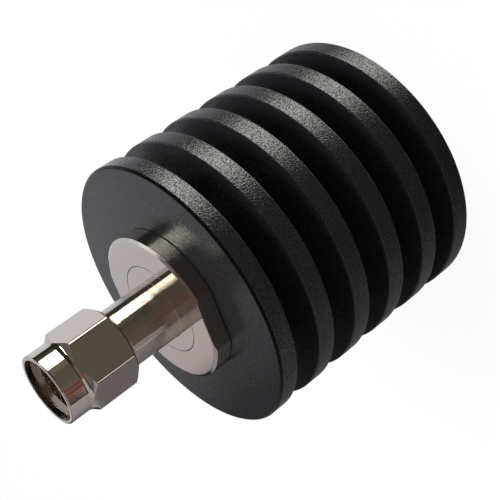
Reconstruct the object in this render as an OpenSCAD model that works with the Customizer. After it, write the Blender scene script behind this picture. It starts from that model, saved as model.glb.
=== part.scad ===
// Coaxial RF load: a finned heat sink, a flange screwed into its front face and a coaxial plug.
// The part stands on the heat sink's flat back face, at z = 0, with the plug pointing up along +Z.
// The two wrench flats of the flange face -Y and +Y. All sizes are in millimetres.

/* [Heat sink] */
// Diameter over the fins
sink_d = 32; // [26:0.5:45]
// Diameter of the solid core between the fins
core_d = 20; // [18:0.5:22]
// Number of disc fins
fin_count = 6; // [5:1:9]
// Thickness of one fin
fin_t = 2.3; // [1.8:0.1:3.5]
// Clear gap between two fins
fin_gap = 3.14; // [2.4:0.02:4.5]
// Edge break on the rims of the fins
fin_edge = 0.15; // [0.05:0.05:0.5]
// Edge break round the front face
front_edge = 0.3; // [0.1:0.05:0.6]
// Tool radius where a fin meets the core
root_r = 0.4; // [0.1:0.05:0.8]

/* [Flange] */
// Diameter of the flange
flange_d = 17.4; // [16.8:0.1:19]
// Distance across the two wrench flats
flange_af = 16.2; // [15:0.1:16.6]
// Thickness of the flange
flange_t = 2.1; // [1.7:0.1:4]
// Width of the edge break on the flange's face
flange_edge_w = 0.35; // [0.1:0.05:0.5]
// Height of the edge break on the flange's face
flange_edge_h = 0.2; // [0.1:0.05:0.4]
// Thickness of the thermal compound under the flange
compound_t = 0.05; // [0.03:0.01:0.2]
// Width of the rim that the thermal compound leaves free under the flange
compound_inset = 0.3; // [0.1:0.05:0.6]

/* [Spigot] */
// Outer diameter of the spigot's screw thread
spigot_d = 12; // [11:0.5:14]
// Bore through the flange and the spigot
spigot_bore_d = 8; // [7.6:0.1:9]
// Diameter of the runout groove between the thread and the flange
runout_d = 10.8; // [10.4:0.1:11.4]
// Length of the runout groove
runout_len = 1.2; // [0.6:0.1:2]
// Chamfer on the end of the spigot
spigot_edge = 0.5; // [0.2:0.1:0.8]
// Room that the drilled hole leaves below the spigot
drill_room = 3; // [1:0.5:5]
// Full angle of the drill's point
drill_angle = 118; // [90:1:135]
// Countersink at the mouth of the tapped hole
tap_edge = 0.5; // [0.2:0.1:0.8]

/* [Connector body] */
// Diameter of the shoulder that sits in the flange's face
shoulder_d = 10.7; // [10:0.1:12]
// Thickness of the shoulder
shoulder_t = 1.5; // [0.8:0.1:1.6]
// Length of the barrel behind the shoulder
barrel_len = 3; // [2:0.1:5]
// Diameter of the plain tube
tube_d = 6.8; // [6.4:0.1:7.6]
// Length of the plain tube, from the flange's face to the nut
tube_len = 6.2; // [3:0.1:12]
// Edge break at the front of the tube
tube_edge = 0.2; // [0.1:0.05:0.4]
// Diameter of the neck that the nut turns on
neck_d = 5.4; // [5.2:0.05:5.5]
// Depth of the retaining ring's groove in the neck
neck_groove = 0.3; // [0.2:0.05:0.35]
// Diameter of the outer contact at the mating face
sleeve_d = 4.6; // [4.5:0.05:4.8]
// Length of the outer contact in front of the neck
sleeve_len = 2.3; // [1.6:0.1:3]
// Bore of the connector body, which holds the insulators
line_d = 4.1; // [3.9:0.05:4.2]

/* [Coupling nut] */
// Distance across the flats of the hexagon
nut_af = 8.3; // [8.2:0.1:9]
// How far the lathe takes off the corners of the hexagon
corner_break = 0.04; // [0.02:0.01:0.12]
// Length of the hexagon, to the end of its front run-out
hex_len = 6.4; // [5:0.1:7.2]
// Length of the curved run-out in front of the hexagon, at its corners
hex_front_len = 1.15; // [0.8:0.05:1.6]
// Length of the chamfer at the rear of the hexagon
hex_rear_len = 0.45; // [0.2:0.05:0.8]
// Diameter of the round face at the rear of the hexagon
hex_face_d = 8; // [7.4:0.1:8.1]
// Diameter of the round collar in front of the hexagon
collar_d = 8.15; // [7.9:0.05:8.15]
// Radius on the outer edge of the collar's lip
lip_r = 0.15; // [0.1:0.05:0.25]
// Thickness of the inner lip at the rear of the nut
rear_lip_t = 1.3; // [0.8:0.1:2]
// Diameter of the ring room inside the nut
ring_room_d = 6.6; // [6.4:0.1:7]
// Thickness of the guide rib in front of the ring room
guide_t = 0.6; // [0.4:0.1:1]
// Diameter of the relief behind the thread
relief_d = 6.5; // [6.4:0.1:7]
// Length of the relief behind the thread
relief_len = 1.5; // [1.3:0.1:2.5]
// Core diameter of the coupling thread
thread_core_d = 5.66; // [5.4:0.02:6]
// Length of the coupling thread
thread_len = 3.2; // [2.8:0.1:5]
// Length of the cone that leads into the thread
lead_len = 0.5; // [0.3:0.1:0.8]
// Diameter of the counterbore at the mouth of the nut
mouth_d = 7.2; // [6.6:0.1:7.4]
// Depth of the counterbore at the mouth of the nut
mouth_len = 0.7; // [0.4:0.1:1]
// Angle at which the nut happens to stand
nut_turn = 2; // [0:1:59]

/* [Retaining ring and gasket] */
// Outer diameter of the retaining ring
ring_d = 5.9; // [5.75:0.05:6.2]
// Thickness of the retaining ring
ring_t = 0.5; // [0.3:0.05:0.8]
// Width of the split in the retaining ring
ring_split = 1.2; // [0.6:0.1:2]
// Outer diameter of the gasket
gasket_d = 6; // [5.4:0.1:6.2]
// Thickness of the gasket
gasket_t = 0.9; // [0.5:0.1:1.2]

/* [Centre pin and insulators] */
// Diameter of the pin at the mating face
pin_d = 0.914; // [0.9:0.002:0.94]
// Length of the pin in front of the mating face
pin_len = 2; // [1.4:0.1:2.4]
// Length of the pin's tapered point
point_len = 0.4; // [0.2:0.05:0.6]
// Diameter of the flat on the pin's point
point_d = 0.4; // [0.2:0.05:0.6]
// Diameter of the pin inside the insulators
line_pin_d = 1.27; // [1.1:0.01:1.4]
// Diameter of the pin's collar
pin_collar_d = 1.9; // [1.7:0.1:2.4]
// Length of the pin's collar
pin_collar_t = 0.8; // [0.4:0.1:1.2]
// Length of the front insulator
front_bead_len = 8.5; // [5:0.5:11]

/* [Resistor] */
// Length of the chip
chip_len = 6; // [5:0.5:8]
// Width of the chip
chip_w = 4; // [3:0.1:5]
// Thickness of the chip
chip_t = 1; // [0.6:0.1:1.5]
// Gap between the connector body and the chip
chip_gap = 0.8; // [0.4:0.1:1.5]
// Length of each metal pad on top of the chip
pad_len = 1.4; // [0.8:0.1:1.8]
// Thickness of the metal pads
pad_t = 0.04; // [0.02:0.01:0.1]
// Width of the resistive film
film_w = 2.6; // [1.5:0.1:2.9]
// Thickness of the resistive film
film_t = 0.02; // [0.01:0.01:0.05]
// Thickness of the glass coat over the film
glaze_t = 0.04; // [0.02:0.01:0.1]
// Width of the ribbon between the pin and the chip
tab_w = 1.2; // [0.6:0.1:2]
// Thickness of the ribbon
tab_t = 0.12; // [0.08:0.01:0.2]
// Length of the ribbon in front of the chip
tab_reach = 0.5; // [0.2:0.1:0.7]
// Thickness of the solder layers
solder_t = 0.05; // [0.03:0.01:0.1]
// Length of the carrier's shelf in front of and behind the chip
shelf_margin = 0.4; // [0.2:0.1:0.6]
// Thickness of the carrier's round end
carrier_end_t = 3.6; // [2:0.1:5]

/* [Fits] */
// Radial gap of pieces that are pressed or soldered together
seat_play = 0.01; // [0.005:0.005:0.03]
// Radial gap at the seam between the flange and the shoulder
seam_play = 0.06; // [0.02:0.01:0.1]
// Radial gap in the screw thread of the spigot
thread_play = 0.05; // [0.02:0.01:0.1]
// Radial gap between the nut and the neck
turn_play = 0.05; // [0.03:0.01:0.08]
// Gap that lets the nut clear the end of the tube and the ring
side_play = 0.15; // [0.1:0.05:0.3]
// Axial gap of the retaining ring in its groove
ring_play = 0.05; // [0.03:0.01:0.1]

/* [Hidden] */
$fn = 96;
hex_sides = 6;
// How far a cutting shape runs past the face that it cuts
over = 1;

// Heights along the axis, from the back of the heat sink to the front of the nut
fin_pitch = fin_t + fin_gap;
sink_len = fin_count * fin_t + (fin_count - 1) * fin_gap;
flange_z = sink_len + compound_t;
face_z = flange_z + flange_t;
shoulder_z = face_z - shoulder_t;
body_z = shoulder_z - barrel_len;
tube_z = face_z + tube_len;
nut_z = tube_z + side_play;
ring_room_z = nut_z + rear_lip_t;
ring_z = ring_room_z + side_play;
ring_room_len = ring_t + 2 * side_play;
guide_z = ring_room_z + ring_room_len;
relief_z = guide_z + guide_t;
neck_z = relief_z + side_play;
thread_z = relief_z + relief_len;
lead_z = thread_z + thread_len;
mouth_z = lead_z + lead_len;
nut_end_z = mouth_z + mouth_len;
hex_end_z = nut_z + hex_len;
mating_z = neck_z + sleeve_len;
bead_z = mating_z - front_bead_len;

// Heights of the resistor, counted back from the connector body
chip_front_z = body_z - chip_gap;
chip_z = chip_front_z - chip_len;
shelf_end_z = chip_front_z + shelf_margin;
carrier_end_z = chip_z - pad_t - shelf_margin;
spigot_z = carrier_end_z - carrier_end_t;
drill_z = spigot_z - drill_room;
drill_r = spigot_d / 2 + thread_play;
drill_point = drill_r / tan(drill_angle / 2);

// Levels of the resistor across the axis, counted down from the pin's flat at y = 0
solder_y = -tab_t - solder_t;
pad_y = solder_y - pad_t;
chip_y = pad_y - chip_t;
shelf_y = chip_y - solder_t;

// Radii that two pieces share
neck_groove_r = neck_d / 2 - neck_groove;
nut_bore_r = neck_d / 2 + turn_play;
hex_corner_r = nut_af / 2 / cos(180 / hex_sides);
hex_edge_r = hex_corner_r - corner_break;

black_anodised = [0.09, 0.09, 0.1];
white_paste = [0.9, 0.9, 0.88];
nickel = [0.72, 0.7, 0.68];
spring_bronze = [0.72, 0.5, 0.28];
red_silicone = [0.72, 0.2, 0.14];
gold = [0.86, 0.68, 0.3];
white_plastic = [0.93, 0.93, 0.91];
copper = [0.75, 0.45, 0.3];
solder_grey = [0.66, 0.66, 0.67];
ceramic = [0.88, 0.87, 0.82];
silver = [0.8, 0.8, 0.78];
dark_film = [0.16, 0.15, 0.14];
green_glass = [0.18, 0.36, 0.24];

// Shapes used by several pieces

// Ring from height z, of length len, between two radii
module ring_solid(z, len, outer_r, inner_r) {
    translate([0, 0, z])
        difference() {
            cylinder(r = outer_r, h = len);
            translate([0, 0, -over])
                cylinder(r = inner_r, h = len + 2 * over);
        }
}

// Half outline of a disc from height z0 to z1, with both rims broken at 45 degrees
module disc_outline(r, z0, z1, low_edge, high_edge) {
    polygon([
        [0, z0], [r - low_edge, z0], [r, z0 + low_edge],
        [r, z1 - high_edge], [r - high_edge, z1], [0, z1],
    ]);
}

// Slab across the axis: width along X, from level y0 up to y1, from height z0 up to z1
module slab(w, y0, y1, z0, z1) {
    translate([-w / 2, y0, z0])
        cube([w, y1 - y0, z1 - z0]);
}

// Heat sink

// Outline of one gap between two fins, with its two inner corners rounded
module gap_outline(z0) {
    floor_r = core_d / 2;
    translate([floor_r + root_r, z0])
        square([sink_d, fin_gap]);
    translate([floor_r, z0 + root_r])
        square([2 * root_r, fin_gap - 2 * root_r]);
    for (z = [z0 + root_r, z0 + fin_gap - root_r])
        translate([floor_r + root_r, z])
            circle(r = root_r);
}

// Small triangle that breaks a fin's rim at height z, on the upper (1) or lower (-1) side of z
module rim_break(z, side) {
    rim_r = sink_d / 2;
    polygon([[rim_r - fin_edge, z], [rim_r, z], [rim_r, z + side * fin_edge]]);
}

// Tapped hole for the spigot, with its drill point and countersink
module tapped_hole() {
    rotate_extrude()
        polygon([
            [0, drill_z - drill_point], [drill_r, drill_z], [drill_r, sink_len - tap_edge],
            [drill_r + tap_edge, sink_len], [drill_r + tap_edge, sink_len + over],
            [0, sink_len + over],
        ]);
}

module heat_sink() {
    color(black_anodised)
        difference() {
            rotate_extrude() {
                difference() {
                    disc_outline(sink_d / 2, 0, sink_len, fin_edge, front_edge);
                    for (i = [0 : fin_count - 2])
                        gap_outline(i * fin_pitch + fin_t);
                    for (i = [1 : fin_count - 1])
                        rim_break(i * fin_pitch, 1);
                    for (i = [0 : fin_count - 2])
                        rim_break(i * fin_pitch + fin_t, -1);
                }
            }
            tapped_hole();
        }
}

// The film has the flange's own footprint, a little smaller. It reaches in over the countersink.
module thermal_compound() {
    flat_y = flange_af / 2 - compound_inset;
    color(white_paste)
        difference() {
            intersection() {
                translate([0, 0, sink_len])
                    cylinder(r = flange_d / 2 - compound_inset, h = compound_t);
                slab(flange_d, -flat_y, flat_y, sink_len - over, flange_z + over);
            }
            translate([0, 0, sink_len - over])
                cylinder(r = drill_r, h = compound_t + 2 * over);
        }
}

// Flange and spigot

module flange_disc() {
    intersection() {
        rotate_extrude()
            polygon([
                [0, flange_z], [flange_d / 2, flange_z], [flange_d / 2, face_z - flange_edge_h],
                [flange_d / 2 - flange_edge_w, face_z], [0, face_z],
            ]);
        slab(flange_d + over, -flange_af / 2, flange_af / 2, flange_z - over, face_z + over);
    }
}

module spigot() {
    rotate_extrude()
        polygon([
            [0, spigot_z], [spigot_d / 2 - spigot_edge, spigot_z],
            [spigot_d / 2, spigot_z + spigot_edge], [spigot_d / 2, flange_z - runout_len],
            [runout_d / 2, flange_z - runout_len], [runout_d / 2, flange_z], [0, flange_z],
        ]);
}

module mounting_flange() {
    color(nickel)
        difference() {
            union() {
                flange_disc();
                spigot();
            }
            translate([0, 0, spigot_z - over])
                cylinder(d = spigot_bore_d, h = face_z - spigot_z + 2 * over);
            translate([0, 0, shoulder_z])
                cylinder(d = shoulder_d, h = shoulder_t + over);
        }
}

// Connector body

module connector_body() {
    barrel_r = spigot_bore_d / 2 - seat_play;
    groove_z = ring_z - ring_play;
    groove_end_z = ring_z + ring_t + ring_play;
    color(nickel)
        difference() {
            rotate_extrude()
                polygon([
                    [0, body_z], [barrel_r, body_z], [barrel_r, shoulder_z],
                    [shoulder_d / 2 - seam_play, shoulder_z], [shoulder_d / 2 - seam_play, face_z],
                    [tube_d / 2, face_z], [tube_d / 2, tube_z - tube_edge],
                    [tube_d / 2 - tube_edge, tube_z], [neck_d / 2, tube_z],
                    [neck_d / 2, groove_z], [neck_groove_r, groove_z],
                    [neck_groove_r, groove_end_z], [neck_d / 2, groove_end_z],
                    [neck_d / 2, neck_z], [sleeve_d / 2, neck_z],
                    [sleeve_d / 2, mating_z], [0, mating_z],
                ]);
            translate([0, 0, body_z - over])
                cylinder(d = line_d, h = mating_z - body_z + 2 * over);
        }
}

// Coupling nut

// Height at which a cone through (r0, z0) and (r1, z1) reaches radius r
function cone_z(r, r0, z0, r1, z1) = z0 + (z1 - z0) * (r - r0) / (r1 - r0);

// Turned outside of the nut: rear chamfer, hollow curve in front of the hexagon, collar and lip.
// It stays just inside the corners of the hexagon, so that the lathe's cuts take the corners off.
module nut_outline() {
    collar_r = collar_d / 2;
    rear_z = cone_z(hex_edge_r, hex_face_d / 2, nut_z, hex_corner_r, nut_z + hex_rear_len);
    step = hex_corner_r - collar_r;
    curve_r = (pow(hex_front_len, 2) + pow(step, 2)) / (2 * step);
    difference() {
        polygon([
            [0, nut_z], [hex_face_d / 2, nut_z], [hex_edge_r, rear_z], [hex_edge_r, hex_end_z],
            [collar_r, hex_end_z], [collar_r, nut_end_z], [0, nut_end_z],
        ]);
        translate([collar_r + curve_r, hex_end_z])
            circle(r = curve_r);
        translate([collar_r + curve_r, hex_end_z - curve_r])
            square(curve_r + over);
        translate([collar_r - lip_r, nut_end_z - lip_r])
            difference() {
                square(lip_r + over);
                circle(r = lip_r);
            }
    }
}

// Everything that is bored out of the nut, from its rear lip to its mouth
module nut_bores() {
    rotate_extrude()
        polygon([
            [0, nut_z - over], [nut_bore_r, nut_z - over], [nut_bore_r, ring_room_z],
            [ring_room_d / 2, ring_room_z], [ring_room_d / 2, guide_z], [nut_bore_r, guide_z],
            [nut_bore_r, relief_z], [relief_d / 2, relief_z], [relief_d / 2, thread_z],
            [thread_core_d / 2, thread_z], [thread_core_d / 2, lead_z], [mouth_d / 2, mouth_z],
            [mouth_d / 2, nut_end_z + over], [0, nut_end_z + over],
        ]);
}

module coupling_nut() {
    color(nickel)
        difference() {
            intersection() {
                translate([0, 0, nut_z - over])
                    rotate([0, 0, nut_turn + 180 / hex_sides])
                        cylinder(r = hex_corner_r, h = nut_end_z - nut_z + 2 * over, $fn = hex_sides);
                rotate_extrude()
                    nut_outline();
            }
            nut_bores();
        }
}

// Ring and gasket inside the nut

module retaining_ring() {
    color(spring_bronze)
        difference() {
            ring_solid(ring_z, ring_t, ring_d / 2, neck_groove_r + seat_play);
            translate([0, -ring_split / 2, ring_z - over])
                cube([ring_d, ring_split, ring_t + 2 * over]);
        }
}

module nut_gasket() {
    color(red_silicone)
        ring_solid(neck_z, gasket_t, gasket_d / 2, sleeve_d / 2 + seat_play);
}

// Centre pin and its two insulators

// The pin's rear end is cut to half round, so that the ribbon lies flat against it
module centre_pin() {
    lap_z = chip_front_z - pad_len;
    lap_end_z = chip_front_z + tab_reach;
    line_r = line_pin_d / 2;
    color(gold)
        difference() {
            rotate_extrude()
                polygon([
                    [0, lap_z], [line_r, lap_z], [line_r, bead_z],
                    [pin_collar_d / 2, bead_z], [pin_collar_d / 2, bead_z + pin_collar_t],
                    [line_r, bead_z + pin_collar_t], [line_r, mating_z], [pin_d / 2, mating_z],
                    [pin_d / 2, mating_z + pin_len - point_len],
                    [point_d / 2, mating_z + pin_len], [0, mating_z + pin_len],
                ]);
            slab(line_pin_d + over, -line_pin_d, 0, lap_z - over, lap_end_z);
        }
}

module front_insulator() {
    color(white_plastic)
        difference() {
            ring_solid(bead_z, front_bead_len, line_d / 2 - seat_play, line_pin_d / 2 + seat_play);
            translate([0, 0, bead_z - over])
                cylinder(r = pin_collar_d / 2 + seat_play, h = pin_collar_t + over);
        }
}

module rear_insulator() {
    color(white_plastic)
        ring_solid(body_z, bead_z - body_z, line_d / 2 - seat_play, line_pin_d / 2 + seat_play);
}

// Resistor on its carrier

module chip_carrier() {
    carrier_r = spigot_bore_d / 2 - seat_play;
    color(copper)
        difference() {
            translate([0, 0, spigot_z])
                cylinder(r = carrier_r, h = shelf_end_z - spigot_z);
            slab(spigot_bore_d, shelf_y, spigot_bore_d, carrier_end_z, shelf_end_z + over);
        }
}

module chip_solder() {
    color(solder_grey)
        slab(chip_w, shelf_y, chip_y, chip_z - pad_t, chip_front_z);
}

module chip_substrate() {
    color(ceramic)
        slab(chip_w, chip_y, pad_y, chip_z, chip_front_z);
}

module input_pad() {
    color(silver)
        slab(chip_w, pad_y, solder_y, chip_front_z - pad_len, chip_front_z);
}

// Top pad at the grounded end, with the wall that wraps down over the end of the chip
module ground_pad() {
    color(silver)
        union() {
            slab(chip_w, pad_y, solder_y, chip_z - pad_t, chip_z + pad_len);
            slab(chip_w, chip_y, solder_y, chip_z - pad_t, chip_z);
        }
}

module resistive_film() {
    color(dark_film)
        slab(film_w, pad_y, pad_y + film_t, chip_z + pad_len, chip_front_z - pad_len);
}

module film_glaze() {
    film_y = pad_y + film_t;
    color(green_glass)
        slab(film_w, film_y, film_y + glaze_t, chip_z + pad_len, chip_front_z - pad_len);
}

module contact_tab() {
    color(copper)
        slab(tab_w, -tab_t, 0, chip_front_z - pad_len, chip_front_z + tab_reach);
}

module tab_solder() {
    color(solder_grey)
        slab(tab_w, solder_y, -tab_t, chip_front_z - pad_len, chip_front_z);
}

heat_sink();
thermal_compound();
mounting_flange();
connector_body();
coupling_nut();
retaining_ring();
nut_gasket();
centre_pin();
front_insulator();
rear_insulator();
chip_carrier();
chip_solder();
chip_substrate();
input_pad();
ground_pad();
resistive_film();
film_glaze();
contact_tab();
tab_solder();
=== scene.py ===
# %% [markdown]
# # A coaxial RF load
#
# The object is a small radio load: a black finned heat sink, a bright flange screwed into its
# front, and a coaxial plug with a hexagonal coupling nut. Its solids already exist as a packed
# model, the frame. This lesson gives them their finish: the edges, the screw thread, the
# materials, the light and the view. It stays in the frame's own place and size.

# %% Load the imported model
import math

import bpy
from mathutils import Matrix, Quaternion, Vector


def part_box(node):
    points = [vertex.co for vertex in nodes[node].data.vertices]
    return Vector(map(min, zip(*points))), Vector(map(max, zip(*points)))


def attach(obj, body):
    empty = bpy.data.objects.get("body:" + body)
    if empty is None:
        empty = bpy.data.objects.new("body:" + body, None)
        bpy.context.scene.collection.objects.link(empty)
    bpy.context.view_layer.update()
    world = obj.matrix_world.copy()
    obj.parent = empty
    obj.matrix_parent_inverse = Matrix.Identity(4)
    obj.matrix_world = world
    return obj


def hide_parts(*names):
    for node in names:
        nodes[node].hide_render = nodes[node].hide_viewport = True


MM = 0.001

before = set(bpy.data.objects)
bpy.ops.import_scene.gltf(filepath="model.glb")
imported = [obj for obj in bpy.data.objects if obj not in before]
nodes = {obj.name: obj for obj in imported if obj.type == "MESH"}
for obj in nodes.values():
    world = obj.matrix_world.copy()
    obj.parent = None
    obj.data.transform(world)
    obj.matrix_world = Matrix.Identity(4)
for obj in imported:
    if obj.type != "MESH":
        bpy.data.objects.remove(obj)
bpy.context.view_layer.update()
print("pieces in the frame:", len(nodes))

# %% [markdown]
# ## Sizes
#
# The frame stands on the back of the heat sink, with the plug pointing up along +Z. Blender works
# in metres, but the pieces here are a few millimetres across. So every outline is written in
# millimetres and scaled once, where its mesh is made. Places come from the boxes of the solids,
# and only what a box can't tell, such as an edge or a groove, is written out here.

# %% Heights and radii in millimetres
def reach(node):
    """Lowest height, highest height and outer radius of a solid, in millimetres."""
    low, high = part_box(node)
    return low.z / MM, high.z / MM, max(high.x, high.y) / MM


SINK_BACK, SINK_FRONT, SINK_R = reach("heat_sink")
SPIGOT_END, FACE, FLANGE_R = reach("mounting_flange")
BODY_END, MATING_FACE, SHOULDER_R = reach("connector_body")
NUT_REAR, NUT_MOUTH, _ = reach("coupling_nut")
FLAT_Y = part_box("mounting_flange")[1].y / MM
print("heat sink:", round(SINK_FRONT, 2), "long, radius", round(SINK_R, 2))
print("flange face at", round(FACE, 2), "nut from", round(NUT_REAR, 2), "to", round(NUT_MOUTH, 2))

# %% [markdown]
# ## Camera
#
# The view decides which edges and textures are worth making, so the camera comes first. It could
# be moved by hand until it looks right. Here it is placed by its distance, height and bearing
# from the part's axis, with a long lens that keeps the fins nearly parallel. The picture is also
# rolled, so that the upright part lies across it with its plug pointing to the lower left.

# %% Place the camera
VIEW_BEARING = math.radians(-59.555)
VIEW_RANGE, VIEW_HEIGHT = 108.34, 76.735
VIEW_AIM = Vector((-0.434, -0.258, 18.689))
VIEW_ROLL = math.radians(-125.93)
LENS, SENSOR = 79.33, 36
NEAREST = 1

eye = Vector((
    VIEW_RANGE * math.cos(VIEW_BEARING), VIEW_RANGE * math.sin(VIEW_BEARING), VIEW_HEIGHT,
))
camera = bpy.data.objects.new("camera", bpy.data.cameras.new("camera"))
camera.data.lens = LENS
camera.data.sensor_width = SENSOR
camera.data.clip_start = NEAREST * MM
camera.location = eye * MM
camera.rotation_mode = "QUATERNION"
unrolled = (VIEW_AIM - eye).to_track_quat("-Z", "Y")
camera.rotation_quaternion = unrolled @ Quaternion((0, 0, 1), VIEW_ROLL)
bpy.context.scene.collection.objects.link(camera)
bpy.context.scene.camera = camera
print("camera to aim:", round((VIEW_AIM - eye).length, 1), "mm")

# %% [markdown]
# ## Rounded corners
#
# Real edges are never razor sharp, and the line of light along them is what makes metal look like
# metal. A Bevel modifier could round a finished mesh, but here each edge has a size of its own.
# So the outline is rounded before it is spun. On both sides of a rounding there is a guard ring,
# which keeps the shading of a flat side flat.

# %% Round the corners of an outline
GUARD = 1.5
EASE_STEPS = 5


def eased(outline):
    """Outline with rounded corners. Each point is (radius, height, reach of the rounding)."""
    soft = []
    for k, (r, z, ease) in enumerate(outline):
        corner = Vector((r, z))
        if ease == 0:
            soft.append(corner)
            continue
        back = ease * (Vector(outline[k - 1][:2]) - corner).normalized()
        ahead = ease * (Vector(outline[(k + 1) % len(outline)][:2]) - corner).normalized()
        soft.append(corner + GUARD * back)
        for s in range(EASE_STEPS + 1):
            t = s / EASE_STEPS
            soft.append(corner + (1 - t) ** 2 * back + t**2 * ahead)
        soft.append(corner + GUARD * ahead)
    return soft


print("points for one rounded corner:", EASE_STEPS + 3)

# %% [markdown]
# ## A skin from rings
#
# Nearly every piece was turned on a lathe. A Screw modifier could spin a profile, but the flange
# has two flats, the nut a hexagon and a helical thread. So one function joins rings of points
# into a skin: a ring can be a circle, or any closed loop, and a ring of one point closes an end.

# %% Join rings into a skin
SHARP_EDGE = math.radians(30)


def skin(name, rings, closed=False):
    """Mesh object through rings of points in millimetres, each ring going round the axis."""
    points, loops = [], []
    for ring in rings:
        loops.append(range(len(points), len(points) + len(ring)))
        points.extend([x * MM, y * MM, z * MM] for x, y, z in ring)
    pairs = list(zip(loops, loops[1:]))
    if closed:
        pairs.append((loops[-1], loops[0]))
    faces = []
    for low, high in pairs:
        count = max(len(low), len(high))
        for i in range(count):
            j = (i + 1) % count
            corners = [
                low[i % len(low)], low[j % len(low)], high[j % len(high)], high[i % len(high)],
            ]
            faces.append(list(dict.fromkeys(corners)))
    mesh = bpy.data.meshes.new(name)
    mesh.from_pydata(points, [], faces)
    mesh.shade_smooth()
    mesh.set_sharp_from_angle(angle=SHARP_EDGE)
    piece = bpy.data.objects.new(name, mesh)
    bpy.context.scene.collection.objects.link(piece)
    normals = piece.modifiers.new("broad faces stay flat", "WEIGHTED_NORMAL")
    normals.keep_sharp = True
    print(name, "has", len(faces), "faces")
    return piece


# %% [markdown]
# ## Heat sink
#
# The heat sink was turned from one bar of aluminium: six thick disc fins on a core, a flat front
# and a tapped hole for the flange. Stacked discs could show the same form, but they would leave
# seams where the real piece has none. So its outline is followed from the middle of the back,
# round every fin, over the front edge and down into the hole, and then spun. The tool left a
# small radius at the root of each gap, and every rim has a broken edge.

# %% Spin the heat sink
FIN_COUNT, FIN_T, CORE_R = 6, 2.3, 10
RIM_EASE, ROOT_EASE = 0.18, 0.4
FRONT_EDGE, FRONT_EASE = 0.28, 0.05
HOLE_R, HOLE_END, DRILL_TIP = 6.05, 13.31, 9.67
HOLE_EDGE, HOLE_EASE = 0.5, 0.05
SINK_SIDES = 384
TINY = 1e-6

fin_pitch = (SINK_FRONT - FIN_T) / (FIN_COUNT - 1)


def circle(r, z, sides=SINK_SIDES):
    """Ring of points at one height, or the single point on the axis."""
    if r < TINY:
        return [(0, 0, z)]
    turn = 2 * math.pi / sides
    return [(r * math.cos(i * turn), r * math.sin(i * turn), z) for i in range(sides)]


sink_outline = [(0, SINK_BACK, 0)]
for fin in range(FIN_COUNT):
    rear, front = fin * fin_pitch, fin * fin_pitch + FIN_T
    if fin > 0:
        sink_outline.append((CORE_R, rear, ROOT_EASE))
    sink_outline.append((SINK_R, rear, RIM_EASE))
    if fin < FIN_COUNT - 1:
        sink_outline.append((SINK_R, front, RIM_EASE))
        sink_outline.append((CORE_R, front, ROOT_EASE))
sink_outline += [
    (SINK_R, SINK_FRONT - FRONT_EDGE, FRONT_EASE), (SINK_R - FRONT_EDGE, SINK_FRONT, FRONT_EASE),
    (HOLE_R + HOLE_EDGE, SINK_FRONT, HOLE_EASE),
    (HOLE_R, SINK_FRONT - HOLE_EDGE, 0), (HOLE_R, HOLE_END, 0), (0, DRILL_TIP, 0),
]
heat_sink = skin("finned_heat_sink", [circle(r, z) for r, z in eased(sink_outline)])

# %% [markdown]
# ## Flange
#
# The flange is a bright disc with a bevelled face and two wrench flats, and a hollow screwed
# spigot behind it. The flats could be cut with a Boolean modifier. Pulling the points of each
# ring in to the flat gives the same shape with an even mesh, as long as a point of the ring
# stands exactly on each end of a flat.

# %% Angles round the flange
FLAT_STEPS, ROUND_STEPS = 48, 140

flat_end = math.asin(FLAT_Y / FLANGE_R)


def steps_between(start, end, count):
    """Evenly spaced angles from start up to, but without, end."""
    return [start + (end - start) * i / count for i in range(count)]


flange_turns = (
    steps_between(-flat_end, flat_end, ROUND_STEPS)
    + steps_between(flat_end, math.pi - flat_end, FLAT_STEPS)
    + steps_between(math.pi - flat_end, math.pi + flat_end, ROUND_STEPS)
    + steps_between(math.pi + flat_end, 2 * math.pi - flat_end, FLAT_STEPS)
)
print("each flat spans", round(180 - 2 * math.degrees(flat_end), 1), "degrees")

# %% [markdown]
# The outline of the flange is the same all round, except that its rim is pulled in to a flat.
# There the flat cuts most of the bevel away, and only a broken edge is left of it.

# %% Make the flange with its two flats
BEVEL_W, BEVEL_H, BEVEL_EASE, FLAT_EASE = 0.35, 0.2, 0.02, 0.05
SPIGOT_R, SPIGOT_BORE_R, SPIGOT_EDGE = 6, 4, 0.5
RUNOUT_R, RUNOUT_LEN = 5.4, 1.2
SEAT_R, SEAT_DEPTH, SEAM_EASE = 5.35, 1.5, 0.035
FLANGE_T = 2.1

flange_rear = FACE - FLANGE_T


def flange_outline(turn):
    """Outline of the flange in the half plane at one angle round the axis."""
    rim = min(FLANGE_R, FLAT_Y / max(abs(math.sin(turn)), TINY))
    bevel_foot = FLANGE_R - BEVEL_W
    bevel = max(BEVEL_H * (rim - bevel_foot) / BEVEL_W, FLAT_EASE)
    return eased([
        (SPIGOT_BORE_R, SPIGOT_END, 0), (SPIGOT_R - SPIGOT_EDGE, SPIGOT_END, 0),
        (SPIGOT_R, SPIGOT_END + SPIGOT_EDGE, 0), (SPIGOT_R, flange_rear - RUNOUT_LEN, 0),
        (RUNOUT_R, flange_rear - RUNOUT_LEN, 0), (RUNOUT_R, flange_rear, 0),
        (rim, flange_rear, FLAT_EASE), (rim, FACE - bevel, BEVEL_EASE),
        (min(bevel_foot, rim - FLAT_EASE), FACE, BEVEL_EASE), (SEAT_R, FACE, SEAM_EASE),
        (SEAT_R, FACE - SEAT_DEPTH, 0), (SPIGOT_BORE_R, FACE - SEAT_DEPTH, 0),
    ])


def rings_of(outline_at, turns):
    """Rings through outlines that have the same number of points at every angle."""
    outlines = [outline_at(turn) for turn in turns]
    return [
        [(r * math.cos(t), r * math.sin(t), z) for t, (r, z) in zip(turns, row)]
        for row in zip(*outlines)
    ]


flange = skin("wrench_flange", rings_of(flange_outline, flange_turns), closed=True)

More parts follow.
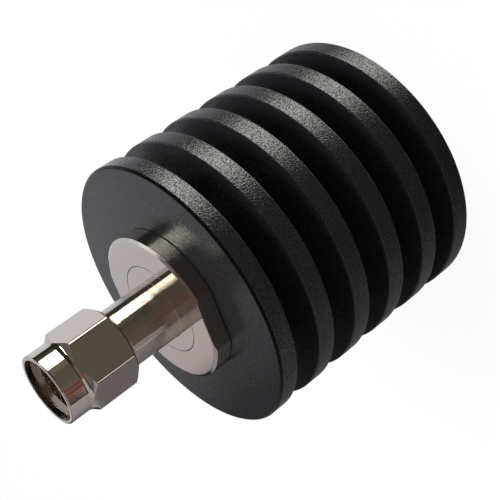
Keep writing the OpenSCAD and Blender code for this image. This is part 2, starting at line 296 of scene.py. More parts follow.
# %% [markdown]
# ## Connector body
#
# The plain tube between the flange and the nut is one turned piece. Its shoulder sits in the face
# of the flange, where only a hairline seam shows, and its neck carries the nut. In front it ends
# in the thin sleeve that touches the mating connector. Cylinders could be joined with Booleans,
# but one outline keeps every step of the turning in view. The seam needs no drawn line: the two
# pieces have a tiny rounding each, and the gap between them is dark by itself.

# %% Spin the connector body
TUBE_R, TUBE_END, TUBE_EDGE = 3.4, 37.85, 0.2
BARREL_R, BODY_BORE_R, BARREL_EASE = 3.99, 2.05, 0.1
NECK_R, NECK_END, GROOVE_R = 2.7, 40.85, 2.4
GROOVE_REAR, GROOVE_FRONT = 39.4, 40.0
SLEEVE_R, FINE_EASE = 2.3, 0.05
BODY_SIDES = 192

body_outline = [
    (BODY_BORE_R, BODY_END, 0), (BARREL_R, BODY_END, BARREL_EASE),
    (BARREL_R, FACE - SEAT_DEPTH, 0), (SHOULDER_R, FACE - SEAT_DEPTH, 0),
    (SHOULDER_R, FACE, SEAM_EASE), (TUBE_R, FACE, FINE_EASE),
    (TUBE_R, TUBE_END, TUBE_EDGE), (NECK_R, TUBE_END, 0),
    (NECK_R, GROOVE_REAR, 0), (GROOVE_R, GROOVE_REAR, 0),
    (GROOVE_R, GROOVE_FRONT, 0), (NECK_R, GROOVE_FRONT, 0),
    (NECK_R, NECK_END, FINE_EASE), (SLEEVE_R, NECK_END, 0),
    (SLEEVE_R, MATING_FACE, FINE_EASE), (BODY_BORE_R, MATING_FACE, FINE_EASE),
]
body_rings = [circle(r, z, BODY_SIDES) for r, z in eased(body_outline)]
connector_body = skin("connector_tube", body_rings, closed=True)

# %% [markdown]
# ## Coupling nut
#
# The nut is a hexagon whose rear was turned off at an angle, and whose front runs out in a hollow
# curve to a round collar. The lathe's cuts end on the six flats in shallow arcs, the mark of every
# real nut. A Boolean of a prism and a turned body would give ragged rounding there. Here each
# column of points runs up the nut in its own outline: the cuts stop where that column's hexagon
# radius is reached.

# %% Hexagon columns
NUT_FLAT_R, NUT_TURN = 4.15, math.radians(2)
CORNER_EASE = 0.45
FLAT_COLUMNS, CORNER_COLUMNS = 44, 14
HEX_SIDES = 6

half_side = math.pi / HEX_SIDES
corner_centre = (NUT_FLAT_R - CORNER_EASE) / math.cos(half_side)
flat_half = (NUT_FLAT_R - CORNER_EASE) * math.tan(half_side)
flat_half_turn = math.atan2(flat_half, NUT_FLAT_R)


def hexagon_r(turn):
    """Radius of the hexagon with rounded corners at one angle."""
    off = (turn - NUT_TURN + half_side) % (2 * half_side) - half_side
    if abs(off) <= flat_half_turn:
        return NUT_FLAT_R / math.cos(off)
    away = half_side - abs(off)
    across = corner_centre * math.sin(away)
    return corner_centre * math.cos(away) + math.sqrt(CORNER_EASE**2 - across**2)


nut_turns = []
for side in range(HEX_SIDES):
    middle = NUT_TURN + 2 * half_side * side
    flat_stop = middle + flat_half_turn
    next_flat = middle + 2 * half_side - flat_half_turn
    nut_turns += steps_between(middle - flat_half_turn, flat_stop, FLAT_COLUMNS)
    nut_turns += steps_between(flat_stop, next_flat, CORNER_COLUMNS)
print("nut columns:", len(nut_turns))

# %% [markdown]
# The mouth of the nut is a plain counterbore, and a short cone leads from it into the coupling
# thread. A thread could be a separate spiral laid in the bore, but then the two would cross each
# other. Instead the radius of the bore wall rises and falls with the height, and the wave climbs
# by one pitch in each turn.

# %% Bore wall with its thread
MOUTH_R, MOUTH_DEPTH, MOUTH_EASE, LEAD_LEN = 3.6, 0.7, 0.05, 0.5
THREAD_R, THREAD_ROOT_R, THREAD_REAR = 2.83, 3.17, 42.2
INCH, THREADS_PER_INCH = 25.4, 36
ROOT_FLAT, CREST_FLAT = 0.25, 0.125
THREAD_ROWS = 84

thread_pitch = INCH / THREADS_PER_INCH
mouth_foot = NUT_MOUTH - MOUTH_DEPTH
thread_end = mouth_foot - LEAD_LEN


def thread_r(turn, z):
    """Radius of the bore wall: flat crests and roots with sloping sides, wound right-handed."""
    phase = (z / thread_pitch - turn / (2 * math.pi)) % 1
    slope = (abs(2 * phase - 1) - ROOT_FLAT) / (1 - CREST_FLAT - ROOT_FLAT)
    rise = min(max(slope, 0), 1)
    cone = THREAD_R + (MOUTH_R - THREAD_R) * (z - thread_end) / LEAD_LEN
    return max(THREAD_ROOT_R + (THREAD_R - THREAD_ROOT_R) * rise, cone)


def bore_wall(turn):
    """Points down the thread at one angle, from the foot of the mouth to the thread's rear end."""
    top = mouth_foot - 2 * MOUTH_EASE
    step = (top - THREAD_REAR) / THREAD_ROWS
    heights = [top - step * k for k in range(THREAD_ROWS)]
    return [Vector((thread_r(turn, z), z)) for z in heights]


print("thread pitch:", round(thread_pitch, 3), "mm")

# %% [markdown]
# The outside of a column starts at the rear face. It rises over the angled cut, which ends in a
# narrow broken edge, runs along the flat, and leaves it on an arc of a circle that is tangent to
# the collar. That arc is the hollow curve. At a corner of the hexagon it is long, and in the
# middle of a flat it is short.

# %% Make the nut
HEX_FACE_R, HEX_FACE_EASE, COLLAR_R, LIP_EASE = 4, 0.03, 4.075, 0.15
HEX_LEN, HEX_FRONT, HEX_REAR = 6.4, 1.15, 0.45
REAR_BREAK, REAR_EASE = 0.1, 0.06
CURVE_STEPS, CURVE_EASE = 5, 0.055
NUT_BORE_R, ROOM_R, RELIEF_R = 2.75, 3.3, 3.25
ROOM_REAR, ROOM_FRONT, RELIEF_REAR = 39.3, 40.1, 40.7

hex_end = NUT_REAR + HEX_LEN
corner_r = NUT_FLAT_R / math.cos(half_side)
step_r = corner_r - COLLAR_R
curve_r = (HEX_FRONT**2 + step_r**2) / (2 * step_r)


def hollow_curve(flat):
    """Points of the run-out from the hexagon, at radius flat, down to the collar."""
    curve_start = math.acos(1 - (flat - COLLAR_R) / curve_r)
    curve = []
    for k in range(CURVE_STEPS + 1):
        lean = curve_start * (1 - k / CURVE_STEPS)
        r = COLLAR_R + curve_r * (1 - math.cos(lean))
        curve.append((r, hex_end - curve_r * math.sin(lean), 0 if k else CURVE_EASE))
    return curve


def nut_outline(turn):
    """Outline of the nut at one angle: up the outside, over the lip and down the bore."""
    flat = hexagon_r(turn)
    rear_cut = NUT_REAR + HEX_REAR * (flat - HEX_FACE_R) / (corner_r - HEX_FACE_R)
    outside = eased([
        (NUT_BORE_R, NUT_REAR, 0), (HEX_FACE_R, NUT_REAR, HEX_FACE_EASE),
        (flat, rear_cut + REAR_BREAK, REAR_EASE), *hollow_curve(flat),
        (COLLAR_R, hex_end + CURVE_EASE, 0), (COLLAR_R, NUT_MOUTH, LIP_EASE),
        (MOUTH_R, NUT_MOUTH, MOUTH_EASE), (MOUTH_R, mouth_foot, MOUTH_EASE),
        (THREAD_R, thread_end, 0),
    ])
    # The last point only steers the rounding before it. The bore wall goes on from there.
    outside.pop()
    rear_bore = [
        (RELIEF_R, THREAD_REAR), (RELIEF_R, RELIEF_REAR), (NUT_BORE_R, RELIEF_REAR),
        (NUT_BORE_R, ROOM_FRONT), (ROOM_R, ROOM_FRONT), (ROOM_R, ROOM_REAR),
        (NUT_BORE_R, ROOM_REAR),
    ]
    return outside + bore_wall(turn) + [Vector(point) for point in rear_bore]


coupling_nut = skin("hexagon_nut", rings_of(nut_outline, nut_turns), closed=True)

# %% [markdown]
# ## What each new piece stands for
#
# Each skin stands for the solid of the same place, which is hidden but stays in the motion model.
# The nut spins on the neck of the connector, so it rides on a body of its own. Each skin is
# parented to an empty named after its body.

# %% Ride and replace
for piece, node, body, slot in (
    (heat_sink, "heat_sink", "load", "black_anodised"),
    (flange, "mounting_flange", "load", "nickel_plate"),
    (connector_body, "connector_body", "load", "nickel_plate"),
    (coupling_nut, "coupling_nut", "nut", "nickel_plate"),
):
    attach(piece, body)
    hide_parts(node)
    print(piece.name, "stands for", node, "and rides on", body)

# %% [markdown]
# ## Materials
#
# Every finish is a node tree. One helper adds a node with its settings and links, and one turns
# an sRGB hex colour into the linear values that Blender mixes. A pattern's scale is the number of
# waves in a metre, so it is worked out from the real size of one grain.

# %% Node helpers
def paint(code):
    """Linear colour of an sRGB hex code."""
    shares = [int(code[i:i + 2], 16) / 255 for i in (1, 3, 5)]
    return [s / 12.92 if s <= 0.04045 else ((s + 0.055) / 1.055) ** 2.4 for s in shares] + [1]


def add(tree, kind, links=None, **settings):
    """New node of a kind. links gives values or sockets for its inputs, settings its options."""
    node = tree.nodes.new("ShaderNode" + kind)
    for name, value in settings.items():
        setattr(node, name, value)
    for socket, value in (links or {}).items():
        if isinstance(value, bpy.types.NodeSocket):
            tree.links.new(value, node.inputs[socket])
        else:
            node.inputs[socket].default_value = value
    return node


def blank(name):
    """New material with an empty node tree, and that tree."""
    material = bpy.data.materials.new(name)
    material.use_nodes = True
    material.node_tree.nodes.clear()
    return material, material.node_tree


def waves(size):
    """Pattern scale for one grain of this size in millimetres."""
    return 1 / (size * MM)


print("middle grey in linear light:", round(paint("#808080")[0], 3))

# %% [markdown]
# ### Black anodised aluminium
#
# The turned bar was blasted with beads and then anodised, which grows a hard oxide that takes a
# black dye. The eye sees a nearly black satin surface whose tiny dimples break a reflected window
# into grains of light. A picture of such a surface could be wrapped round the fins, but a noise in
# space has no seams. The finest dimples would be lost in the render, so the grain is drawn
# coarser, a little under a fifth of a millimetre wide. On the level faces, which look smoother
# than the rims, it is held back.

# %% Grain of the black finish
GRAIN_SIZE, PATCH_SIZE = 0.17, 4
LEVEL_GRAIN = 0.25

black_anodised, tree = blank("black_anodised_blasted_aluminium")
place = add(tree, "TexCoord").outputs["Object"]
dimples = add(
    tree, "TexNoise",
    {"Vector": place, "Scale": waves(GRAIN_SIZE), "Detail": 2.0, "Roughness": 0.6},
).outputs["Fac"]
patches = add(tree, "TexNoise", {"Vector": place, "Scale": waves(PATCH_SIZE), "Detail": 2.0})
facing = add(tree, "SeparateXYZ", {0: add(tree, "NewGeometry").outputs["True Normal"]})
level_share = add(tree, "Math", {0: facing.outputs["Z"]}, operation="ABSOLUTE").outputs[0]
spread = add(tree, "MapRange", {"Value": level_share, "To Min": 1.0, "To Max": LEVEL_GRAIN})
grain = add(tree, "Math", {0: dimples, 1: 0.5}, operation="SUBTRACT")
grain = add(
    tree, "Math", {0: grain.outputs[0], 1: spread.outputs["Result"]}, operation="MULTIPLY",
).outputs[0]
print("grain", GRAIN_SIZE, "mm wide on", black_anodised.name)

# %% [markdown]
# The same grain sets the gloss: one dimple shines and its neighbour stays dull. The sheen is a
# little softer on level faces, and a slow noise varies it from patch to patch. The bevelled edge
# of the front carries painted shade: its base colour is painted near black and its gloss is
# lowered, so it shows as a thin black line. The slope of a face picks it out, and with it a
# hairline of painted shade along each rounded rim.

# %% Gloss and tone of the black finish
GRAIN_SPAN, DULL_GRAIN, BRIGHT_GRAIN = 0.14, 0.06, 0.94
SHEEN_LOW, SHEEN_HIGH, LEVEL_SHEEN, GRAIN_SHEEN = 0.15, 0.2, 0.1, -0.25
DARK_EDGE_SLOPE, DARK_EDGE_REACH, DARK_EDGE_GLOSS = 0.7, 0.15, 0.12
GRAIN_DEPTH = 0.045

glint = add(
    tree, "MapRange",
    {"Value": grain, "From Min": -GRAIN_SPAN, "From Max": GRAIN_SPAN,
     "To Min": DULL_GRAIN, "To Max": BRIGHT_GRAIN},
)
sheen = add(
    tree, "MapRange",
    {"Value": patches.outputs["Fac"], "To Min": SHEEN_LOW, "To Max": SHEEN_HIGH},
).outputs["Result"]
for share, amount in ((level_share, LEVEL_SHEEN), (grain, GRAIN_SHEEN)):
    sheen = add(
        tree, "Math", {0: share, 1: amount, 2: sheen}, operation="MULTIPLY_ADD",
    ).outputs[0]
tint = add(
    tree, "Mix", {0: dimples, 6: paint("#17191b"), 7: paint("#202225")}, data_type="RGBA",
)
# Painted shade: faces sloping at about 45 degrees (the front bevel and a hairline on each rounded
# rim) get a near-black base colour and a lowered specular level.
painted_dark_edge = add(
    tree, "Math", {0: level_share, 1: DARK_EDGE_SLOPE, 2: DARK_EDGE_REACH}, operation="COMPARE",
).outputs[0]
tint = add(
    tree, "Mix", {0: painted_dark_edge, 6: tint.outputs[2], 7: paint("#050506")}, data_type="RGBA",
)
glint = add(
    tree, "MapRange",
    {"Value": painted_dark_edge, "To Min": glint.outputs["Result"], "To Max": DARK_EDGE_GLOSS},
)
bump = add(tree, "Bump", {"Height": grain, "Strength": 1.0, "Distance": GRAIN_DEPTH * MM})
shader = add(
    tree, "BsdfPrincipled",
    {
        "Base Color": tint.outputs[2], "Roughness": sheen, "IOR": 1.5,
        "Specular IOR Level": glint.outputs["Result"], "Normal": bump.outputs["Normal"],
    },
)
add(tree, "OutputMaterial", {"Surface": shader.outputs["BSDF"]})
print("made", black_anodised.name)

# %% [markdown]
# ### Bright nickel plate
#
# The brass parts were turned, polished and plated with nickel, which is a warm, slightly dark
# mirror. A grey paint would never look like it, because it gets its look from what it reflects.
# On the tube the polishing ran round the axis, and its fine scratches smear a reflection along
# the axis but leave it sharp across. That is what anisotropy does, with a tangent that goes round
# Z. A very low ripple keeps reflections from being straight. Inside the radius of the mouth of the
# nut the nickel is darker and rougher.

# %% Bright nickel finishes
RIPPLE_SIZE, RIPPLE_DEPTH = 1.2, 0.002
DULL_BLEND, DULL_ROUGHNESS = 0.1, 0.12
ALONG_AXIS = 0.25


def nickel_plate(name, smooth, rough, smear, bore_r=0):
    """Nickel of two roughness values. smear blurs along the axis, and inside bore_r it is dull."""
    material, tree = blank(name)
    place = add(tree, "TexCoord").outputs["Object"]
    ripple = add(
        tree, "TexNoise", {"Vector": place, "Scale": waves(RIPPLE_SIZE), "Detail": 1.0},
    ).outputs["Fac"]
    bump = add(tree, "Bump", {"Height": ripple, "Strength": 1.0, "Distance": RIPPLE_DEPTH * MM})
    gloss = add(tree, "MapRange", {"Value": ripple, "To Min": smooth, "To Max": rough})
    across = add(tree, "VectorMath", {0: place, 1: (1, 1, 0)}, operation="MULTIPLY")
    radius = add(tree, "VectorMath", {0: across.outputs["Vector"]}, operation="LENGTH")
    inside = add(
        tree, "MapRange",
        {"Value": radius.outputs["Value"], "From Min": bore_r * MM,
         "From Max": (bore_r + DULL_BLEND) * MM, "To Min": 1.0, "To Max": 0.0},
    ).outputs["Result"]
    gloss = add(
        tree, "Math", {0: inside, 1: DULL_ROUGHNESS, 2: gloss.outputs["Result"]},
        operation="MULTIPLY_ADD",
    )
    plate = add(
        tree, "Mix", {0: inside, 6: paint("#cec6bc"), 7: paint("#968b7d")}, data_type="RGBA",
    )
    round_axis = add(tree, "Tangent", direction_type="RADIAL", axis="Z")
    shader = add(
        tree, "BsdfPrincipled",
        {
            "Base Color": plate.outputs[2], "Metallic": 1.0, "Roughness": gloss.outputs[0],
            "Anisotropic": smear, "Anisotropic Rotation": ALONG_AXIS,
            "Tangent": round_axis.outputs["Tangent"], "Normal": bump.outputs["Normal"],
        },
    )
    add(tree, "OutputMaterial", {"Surface": shader.outputs["BSDF"]})
    print("made", name)
    return material


turned_nickel = nickel_plate("turned_nickel_plate", smooth=0.16, rough=0.2, smear=1)
bright_nickel = nickel_plate("bright_nickel_plate", smooth=0.05, rough=0.09, smear=0)
nut_nickel = nickel_plate(
    "bright_nickel_plate_with_cut_thread", smooth=0.04, rough=0.08, smear=0, bore_r=MOUTH_R,
)

# %% [markdown]
# ### The pieces inside
#
# Only the mouth of the nut shows any of them, but each has its own finish: a gold-plated pin,
# white fluoropolymer beads, a red silicone gasket, a bronze ring, and the copper, ceramic, solder
# and films of the resistor. Each could have a tree of its own. They are small and plain, so they
# share one recipe: two close tones of the material, and a grain that lifts it a little.

# %% Recipe for the inner pieces
def grained(name, light, dark, grain, metallic, roughness, depth):
    """Material of two close tones. grain is the pattern's size and depth its relief, in mm."""
    material, tree = blank(name)
    place = add(tree, "TexCoord").outputs["Object"]
    noise = add(tree, "TexNoise", {"Vector": place, "Scale": waves(grain), "Detail": 3.0})
    tones = add(tree, "ValToRGB", {"Fac": noise.outputs["Fac"]})
    tones.color_ramp.elements[0].color = paint(dark)
    tones.color_ramp.elements[1].color = paint(light)
    bump = add(tree, "Bump", {"Height": noise.outputs["Fac"], "Distance": depth * MM})
    shader = add(
        tree, "BsdfPrincipled",
        {
            "Base Color": tones.outputs["Color"], "Metallic": metallic, "Roughness": roughness,
            "Normal": bump.outputs["Normal"],
        },
    )
    add(tree, "OutputMaterial", {"Surface": shader.outputs["BSDF"]})
    return material


finish_of = {}
for node, *recipe in (
    # Thermal paste, squeezed flat: a matt white smear.
    ("thermal_compound", "white_thermal_paste_smeared", "#e8e8e4", "#d4d4cf", 0.3, 0, 0.6, 0.01),
    # Bronze strip, stamped: a brown metal with a soft shine.
    ("retaining_ring", "spring_bronze_stamped", "#c08a4e", "#a87440", 0.2, 1, 0.3, 0.002),
    # Silicone, moulded: an even red with a weak, wide sheen.
    ("nut_gasket", "red_silicone_moulded", "#b8392c", "#a02f25", 0.5, 0, 0.5, 0.004),
    # Gold plate, polished before it was plated: a clear yellow mirror.
    ("centre_pin", "gold_plate_bright", "#e2bd6a", "#d6ab55", 0.3, 1, 0.16, 0.001),
    # Fluoropolymer, turned: a waxy white.
    ("front_insulator", "white_fluoropolymer_turned", "#f0efec", "#e4e3df", 0.4, 0, 0.45, 0.004),
    # Copper, machined: a rosy metal with a soft shine.
    ("chip_carrier", "copper_machined", "#c98664", "#b57252", 0.3, 1, 0.3, 0.002),
    # Tin solder, melted and set: a dull grey metal.
    ("chip_solder", "tin_solder_reflowed", "#b4b4b6", "#9d9da0", 0.4, 1, 0.35, 0.004),
    # Ceramic, sintered: a chalky white of very fine grain.
    ("chip_substrate", "white_ceramic_sintered", "#ebe9e2", "#dcd9cf", 0.15, 0, 0.5, 0.003),
    # Silver paste, fired: a pale metal without gloss.
    ("input_pad", "silver_paste_fired", "#d8d7d2", "#c4c3bd", 0.1, 1, 0.4, 0.003),
    # Resistor film, fired: a flat near black.
    ("resistive_film", "dark_resistive_film_fired", "#2e2b29", "#242120", 0.1, 0, 0.5, 0.002),
    # Glass glaze, fired: a smooth, glossy green.
    ("film_glaze", "green_glass_glaze_fired", "#2f5f3f", "#255034", 0.6, 0, 0.12, 0.002),
):
    finish_of[node] = grained(*recipe)
for twin, original in (
    ("rear_insulator", "front_insulator"), ("ground_pad", "input_pad"),
    ("contact_tab", "chip_carrier"), ("tab_solder", "chip_solder"),
):
    finish_of[twin] = finish_of[original]
print("inner pieces with a finish:", len(finish_of))

# %% [markdown]
# ### Putting the finishes on
#
# A solid and the skin that stands for it get the same finish. The connector body has two: its
# tube is smeared along the axis, but the shoulder that lies in the face of the flange was polished
# with it and mirrors as clearly. A second material slot holds that polish, and each face that
# looks nearly straight up or down is pointed to it. A mask in the nodes could do this too, but the
# slot is easier to see in Blender.

# %% Give every piece its finish
LEVEL = 0.9

finish_of.update(
    heat_sink=black_anodised, mounting_flange=bright_nickel, connector_body=turned_nickel,
    coupling_nut=nut_nickel,
)
for name, material in finish_of.items():
    nodes[name].data.materials.clear()
    nodes[name].data.materials.append(material)
for piece, node in (
    (heat_sink, "heat_sink"), (flange, "mounting_flange"), (connector_body, "connector_body"),
    (coupling_nut, "coupling_nut"),
):
    piece.data.materials.append(finish_of[node])
connector_body.data.materials.append(bright_nickel)
for face in connector_body.data.polygons:
    face.material_index = 1 if abs(face.normal.z) > LEVEL else 0
print("solids with a finish:", len(finish_of), "of", len(nodes))

# %% [markdown]
# ## Floor
#
# The part stands on a plain white floor that runs out of the picture. Lighting a floor until it
# turns white would also burn out the part, so for the camera most of the floor's white is its own
# glow at strength 1, and the rest is a white surface that still takes a soft shadow.

# %% White floor
FLOOR_SIZE = 6.0
FLOOR_GLOW = 0.93

bpy.ops.mesh.primitive_plane_add(size=FLOOR_SIZE)
floor = bpy.context.object
floor.name = "floor"
white_floor, tree = blank("white_floor_sheet")
path = add(tree, "LightPath")
share = add(
    tree, "Math", {0: path.outputs["Is Camera Ray"], 1: FLOOR_GLOW}, operation="MULTIPLY",
)
glow = add(tree, "Emission", {"Color": paint("#ffffff"), "Strength": 1.0})
matt = add(tree, "BsdfDiffuse", {"Color": paint("#f4f4f4")})
mix = add(
    tree, "MixShader",
    {0: share.outputs[0], 1: matt.outputs["BSDF"], 2: glow.outputs["Emission"]},
)
add(tree, "OutputMaterial", {"Surface": mix.outputs["Shader"]})
floor.data.materials.append(white_floor)
floor.visible_glossy = False
floor.visible_shadow = False
print("floor", FLOOR_SIZE, "m wide")

# %% [markdown]
# ## World
#
# The surroundings are white for the camera and for reflections, and a softer grey for the light
# that falls on matt surfaces, so that colours come out about as they are written. A picture of a
# room could light the part too, but a plain sky can be set with one number.

# %% Surroundings
AMBIENT = 0.5

world = bpy.data.worlds.new("white_surroundings")
world.use_nodes = True
tree = world.node_tree
tree.nodes.clear()
path = add(tree, "LightPath")
seen = path.outputs["Is Camera Ray"]
for ray in ("Is Glossy Ray", "Is Transmission Ray"):
    seen = add(tree, "Math", {0: seen, 1: path.outputs[ray]}, operation="MAXIMUM").outputs[0]
strength = add(tree, "MapRange", {"Value": seen, "To Min": AMBIENT, "To Max": 1.0})
sky = add(tree, "Background", {"Color": paint("#ffffff"), "Strength": strength.outputs["Result"]})
add(tree, "OutputWorld", {"Surface": sky.outputs["Background"]})
bpy.context.scene.world = world
bpy.context.scene.view_settings.view_transform = "Standard"
print("ambient light:", AMBIENT)

# %% [markdown]
# ## Cards
#
# Polished metal is a picture of its surroundings. In white surroundings it would be white all
# over, so a photographer stands dark, tinted and bright cards round the part. Each card here is a
# piece of a cylinder wall: its two bearings, the heights between which it stands, and its colour.
# The camera looks down on the part, so its upright sides mirror what lies below them: those cards
# hang lower than the floor, which is hidden from reflections. The cards themselves are seen
# only in reflections.

# %% Card material
card_glow, tree = blank("card_glow")
tone = add(tree, "Attribute", attribute_name="tone")
light = add(tree, "Emission", {"Color": tone.outputs["Color"]})
add(tree, "OutputMaterial", {"Surface": light.outputs["Emission"]})
print("made", card_glow.name)


def glowing(name, points, faces, tones):
    """Staging mesh seen only in reflections. Each point has its own light colour."""
    mesh = bpy.data.meshes.new(name)
    mesh.from_pydata([[c * MM for c in point] for point in points], [], faces)
    layer = mesh.color_attributes.new("tone", "FLOAT_COLOR", "POINT")
    for spot, colour in zip(layer.data, tones):
        spot.color = colour
    mesh.materials.append(card_glow)
    board = bpy.data.objects.new(name, mesh)
    bpy.context.scene.collection.objects.link(board)
    board.visible_camera = False
    board.visible_diffuse = False
    board.visible_shadow = False
    print(name, "has", len(faces), "panels")


# %% [markdown]
# A card could be a plane with a material of its own, but dozens of them would need dozens of
# materials. Here a whole ring of cards is one mesh, and its points carry the colours. Between two
# stops the colour runs evenly from one tone to the next. Two stops at the same bearing make a hard
# edge. The top of a stop can be moved to another bearing, which slants the edge.

# %% Tones and rings of cards
CARD_R = 380
COLUMN_STEP = 4
TONES = dict(
    window="#fffdf4", white="#ebebf2", pale="#c8c1c6", silver="#b8b5ba", lilac="#a8a3a8",
    mauve="#7b7478", ash="#6a6869", stone="#7d796d", moss="#5d625c", olive="#646256",
    fawn="#7c6c61", cocoa="#635650", brick="#86665a", deep_brick="#684339", umber="#362e29",
    slate="#323334", soot="#1f1d1b",
)


def light_of(tone, strength=1):
    """Light colour of a card."""
    return [strength * c for c in paint(TONES[tone])]


def card_ring(name, low, high, stops, slanted=None):
    """Ring of cards between two heights. A stop is (bearing, tone) or (bearing, tone, strength)."""
    slanted = slanted or {}
    points, faces, tones = [], [], []
    for (start, *first), (end, *last) in zip(stops, stops[1:]):
        if start == end:
            continue
        count = max(1, round((end - start) / COLUMN_STEP))
        top_start, top_end = slanted.get(start, start), slanted.get(end, end)
        for k in range(count + 1):
            share = k / count
            colour = [a + (b - a) * share for a, b in zip(light_of(*first), light_of(*last))]
            for z, left, right in ((low, start, end), (high, top_start, top_end)):
                turn = math.radians(left + (right - left) * share)
                points.append((CARD_R * math.cos(turn), CARD_R * math.sin(turn), z))
                tones.append(colour)
            if k > 0:
                n = len(points)
                faces.append((n - 4, n - 2, n - 1, n - 3))
    glowing(name, points, faces, tones)


print("tones:", len(TONES))

# %% [markdown]
# The cards stand in rings, one above the other, because each part of the object mirrors its own
# band of heights. Round every ring there is one bright window to the right of the camera, grey,
# olive and brown cards beside it, a white wall on the far side and paler cards to the left. The
# lowest two rings are for the rims of the fins, which stand upright and are seen from above.

# %% Stand the cards for the rims
WINDOW_LEFT, WINDOW_RIGHT = -14, 27
RIMS_LOW, RIMS_SPLIT, TUBE_LOW = -1200, -270, -155


def window(strength, left=WINDOW_LEFT):
    """Two stops of the bright window."""
    return [(left, "window", strength), (WINDOW_RIGHT, "window", strength)]


rim_left = [
    (-154, "mauve"), (-134, "umber"), (-74, "soot"), (-46, "umber"), (WINDOW_LEFT, "stone"),
]
rim_right = [
    (WINDOW_RIGHT, "moss"), (50, "moss"), (58, "white", 0.6), (112, "white", 0.6),
    (134, "mauve"), (206, "mauve"),
]
for name, low, high, strength in (
    ("cards_for_the_rear_rims", RIMS_LOW, RIMS_SPLIT, 3.6),
    ("cards_for_the_front_rims", RIMS_SPLIT, TUBE_LOW, 5.8),
):
    card_ring(name, low, high, [*rim_left, *window(strength), *rim_right])

# %% [markdown]
# The tube and the hexagon come next. On the tube the window is a long white band with a slanting
# edge, then olive, brown and grey. Each flat of the hexagon mirrors only a few degrees of its
# ring, so it takes one tone. Its rounded corners sweep over many degrees, and two narrow bright
# cards with dark ones beside them draw the fine light lines there.

# %% Stand the cards for the tube and the hexagon
HEX_LOW, COLLAR_LOW = -102, -73
LOW_SLANT = 4

far_low = [(119, "white"), (150, "ash"), (184, "mauve")]
card_ring("cards_for_the_tube", TUBE_LOW, HEX_LOW, [
    (-176, "mauve"), (-166, "mauve"), (-146, "lilac"), (-146, "silver"), (-127, "silver"),
    (-127, "soot"), (-121, "umber"), (-120, "brick"), (-74, "fawn"), (-56, "olive"),
    (-36, "olive"), (LOW_SLANT, "stone"), *window(8, LOW_SLANT), (WINDOW_RIGHT, "umber"),
    (50, "umber"), (58, "white"), *far_low,
], {LOW_SLANT: WINDOW_LEFT})
card_ring("cards_for_the_hexagon", HEX_LOW, COLLAR_LOW, [
    (-176, "mauve"), (-158, "mauve"), (-154, "umber"), (-136, "umber"), (-134, "white", 1.4),
    (-112, "white", 1.4), (-110, "soot"), (-86, "umber"), (-80, "fawn"), (-64, "olive"),
    (-46, "olive"), (-40, "umber"), (-12, "umber"), (-12, "window", 3.5), (22, "window", 3.5),
    (22, "soot"), (55, "soot"), (58, "white"), *far_low,
])

# %% [markdown]
# The round collar of the nut mirrors nearly the whole of its ring side by side: a white window,
# olive, a reddish part with three darker stripes, and grey. The stripes are placed by a loop.

# %% Stand the cards for the collar
HORIZON_LOW = -34

stripes = []
for bearing in (-118, -106, -94):
    stripes += [(bearing, "brick"), (bearing + 3, "deep_brick"), (bearing + 6, "brick")]
collar_dark = [
    (-138, "umber"), (-132, "umber"), (-132, "cocoa"), (-122, "cocoa"), *stripes, (-86, "brick"),
    (-72, "moss"), (-58, "olive"), (-39, "olive"), (-26, "stone"), (WINDOW_LEFT, "stone"),
]
beside_window = [(WINDOW_RIGHT, "moss"), (46, "umber"), (54, "soot"), (56, "white")]
card_ring("cards_for_the_collar", COLLAR_LOW, HORIZON_LOW, [
    (-177, "lilac"), (-138, "silver"), *collar_dark, *window(8), *beside_window,
    (119, "white"), (131, "mauve"), (150, "ash"), (183, "lilac"),
])

# %% [markdown]
# A dark strip below the horizon draws the thin dark lines along the rounded edges of the nut.
# Above it the cards are pale on the left, then brown, then dark.

# %% Stand the cards at the horizon
HORIZON_HIGH, WALL_HIGH, WINDOW_LOW = 10, 125, 155

far_wall = [
    (76, "white", 0.84), (112, "white", 0.84), (118, "white", 0.76), (125, "pale"),
    (128.5, "slate"), (146, "slate"), (152, "lilac"), (183, "lilac"),
]
dark_side = [(46, "umber"), (54, "soot"), (56, "white", 0.84), *far_wall]
card_ring("horizon", HORIZON_LOW, HORIZON_HIGH, [
    (-177, "lilac"), (-138, "pale"), (-138, "umber"), *dark_side,
])
card_ring("cards_over_the_horizon", HORIZON_HIGH, WALL_HIGH, [
    (-177, "lilac"), (-138, "pale"), (-92, "pale"), (-86, "brick"), (-56, "fawn"),
    (-36, "umber"), (-20, "umber"), *dark_side,
])
left_side = [
    (-177, "pale"), (-134, "pale"), (-130, "mauve"), (-108, "mauve"), (-100, "brick"),
    (-60, "fawn"),
]
card_ring("cards_below_the_window", WALL_HIGH, WINDOW_LOW, [
    *left_side, (-20, "umber"), *dark_side,
])

# %% [markdown]
# Higher still stand the cards that the level faces mirror. The window has a slanting left edge
# there, and the white wall falls off quickly to a dark card, which shades the faces across their
# width.

# %% Stand the high cards
SLANT_LOW, WINDOW_HIGH, CEILING = 196, 206, 250
HIGH_SLANT = 9

beside = [(-48, "olive"), (-26, "stone")]
window_side = [(WINDOW_RIGHT, "moss"), *dark_side]
card_ring("cards_for_the_faces", WINDOW_LOW, SLANT_LOW, [
    *left_side, *beside, (WINDOW_LEFT, "stone"), *window(11), *window_side,
], {WINDOW_LEFT: HIGH_SLANT})
left_high = [
    (-177, "lilac"), (-138, "umber"), (-108, "umber"), (-100, "deep_brick"), (-60, "deep_brick"),
    *beside,
]
card_ring("cards_over_the_slant", SLANT_LOW, WINDOW_HIGH, [
    *left_high, (HIGH_SLANT, "cocoa"), *window(4.4, HIGH_SLANT), *window_side,
])
card_ring("cards_over_the_window", WINDOW_HIGH, CEILING, [
    *left_high, (WINDOW_RIGHT, "umber"), *window_side,
])

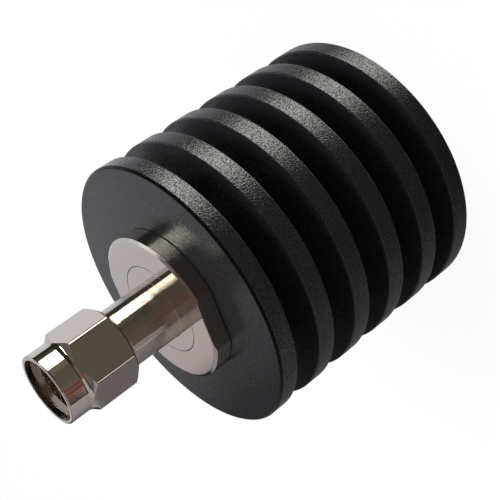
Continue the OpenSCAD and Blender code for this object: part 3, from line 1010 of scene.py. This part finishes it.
# %% [markdown]
# ## Ceiling
#
# Seen from above, the level faces of the flange and the nut mirror the ceiling. One white sheet
# would do for that, but it would also lighten the front of the heat sink. So the ceiling is a disc
# with tones round its rim and paler ones further in, and a brown middle that fills the mouth of
# the nut.

# %% Hang the ceiling
ZENITH_R, CEILING_SIDES = 60, 72

outer_tones = [
    (-180, "lilac"), (-140, "ash"), (-100, "stone"), (-75, "ash"), (64, "white", 2),
    (75, "white"), (104, "slate"), (150, "lilac"),
]
inner_tones = [(-180, "lilac"), (-140, "mauve"), (64, "white"), (104, "lilac")]


def shades_round(stops):
    """Light colours of one circle of the ceiling. Each tone holds until the next bearing."""
    bearings = [(360 / CEILING_SIDES * i + 180) % 360 - 180 for i in range(CEILING_SIDES)]
    return [light_of(*[shade for start, *shade in stops if start <= b][-1]) for b in bearings]


outer = circle(CARD_R, CEILING, CEILING_SIDES)
middle = circle(ZENITH_R, CEILING, CEILING_SIDES)
ring = []
for i in range(CEILING_SIDES):
    j = (i + 1) % CEILING_SIDES
    ring.append((i, j, CEILING_SIDES + j, CEILING_SIDES + i))
glowing("ceiling", outer + middle, ring, shades_round(outer_tones) + shades_round(inner_tones))
disc = [tuple(range(CEILING_SIDES))]
glowing("middle_of_the_ceiling", middle, disc, [light_of("cocoa")] * CEILING_SIDES)

# %% [markdown]
# ## Lamp
#
# One broad soft lamp overhead lifts the white pieces and draws the shadow. The cards already make
# every reflection, so the lamp is kept out of them: its image would put stray glints on the edges.

# %% Overhead lamp
LAMP_SIZE, LAMP_POWER = 0.5, 6.0
LAMP_PLACE = (0.35, 0.15, 0.8)

lamp = bpy.data.objects.new("overhead_lamp", bpy.data.lights.new("overhead_lamp", "AREA"))
lamp.data.size = LAMP_SIZE
lamp.data.energy = LAMP_POWER
lamp.location = LAMP_PLACE
lamp.visible_glossy = False
lamp.rotation_mode = "QUATERNION"
lamp.rotation_quaternion = (-lamp.location).to_track_quat("-Z", "Y")
bpy.context.scene.collection.objects.link(lamp)
print("lamp:", LAMP_POWER, "W")
